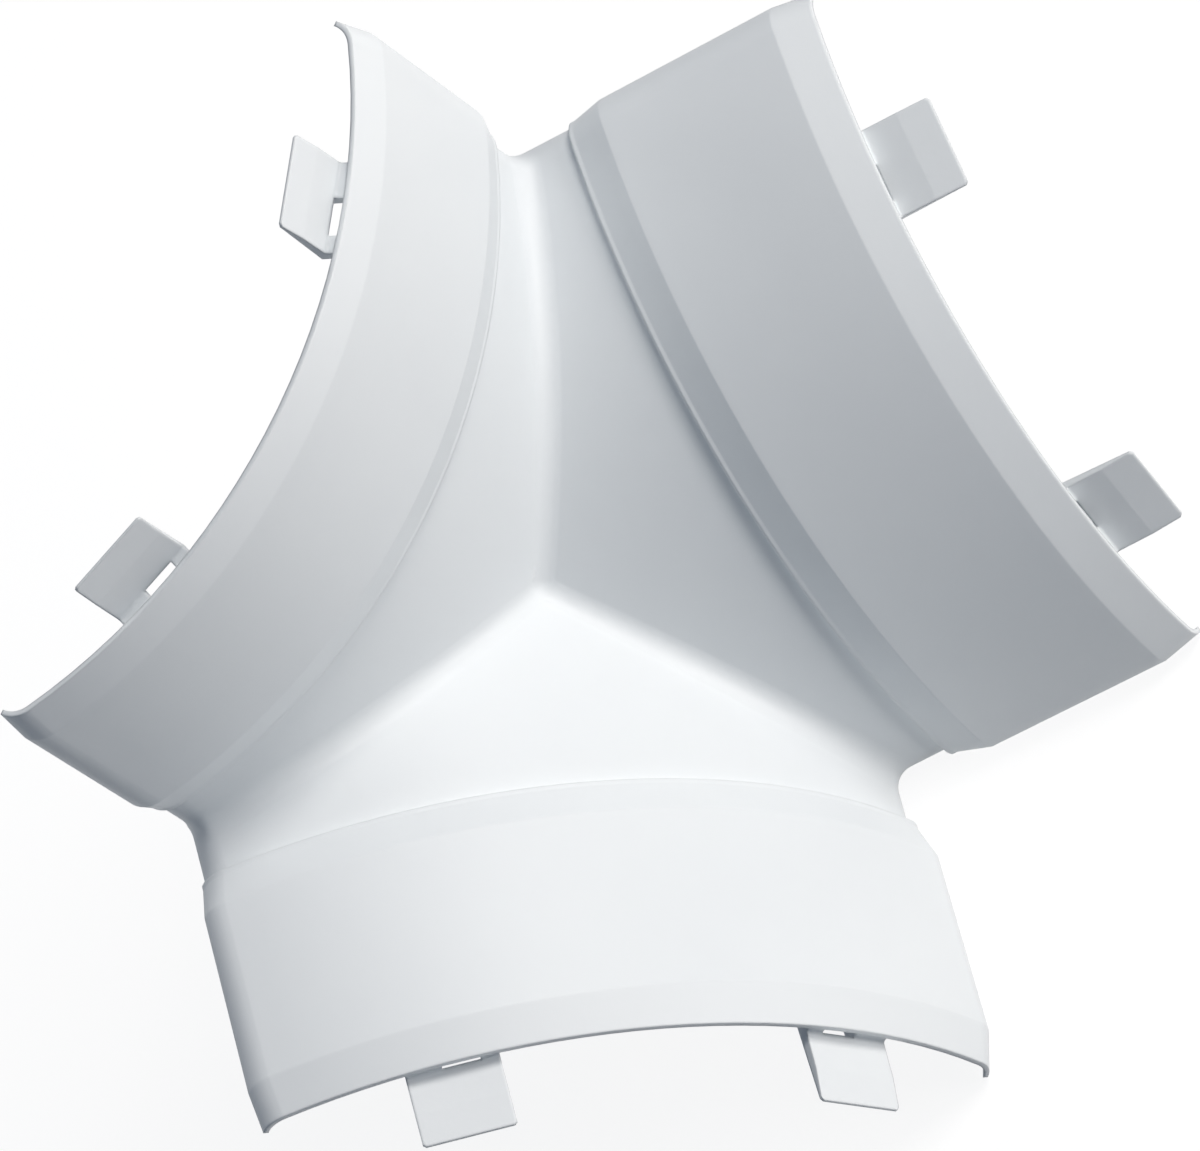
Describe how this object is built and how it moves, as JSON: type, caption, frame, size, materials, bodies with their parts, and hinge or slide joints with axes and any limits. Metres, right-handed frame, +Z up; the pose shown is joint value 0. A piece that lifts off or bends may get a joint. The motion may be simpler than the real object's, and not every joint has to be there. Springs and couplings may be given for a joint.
{
  "type": "trunking tee cover",
  "caption": "Thin white moulded corner tee for cable trunking: L-section arms at right angles, swept between them, with flared ends and holding tongues behind the rims.",
  "frame": {"origin": "the point where the planes of the three rims meet, in the corner that the three arms run out from", "axes": "+X along one level arm, +Y along the other level arm, +Z up: the third arm hangs down along -Z. The hollow side faces -X, -Y and +Z"},
  "size_m": [0.167, 0.167, 0.167],
  "materials": {
    "white_plastic": "smooth satin moulded white plastic"
  },
  "bodies": {
    "root": {"tee_cover": "white_plastic"}
  },
  "joints": []
}
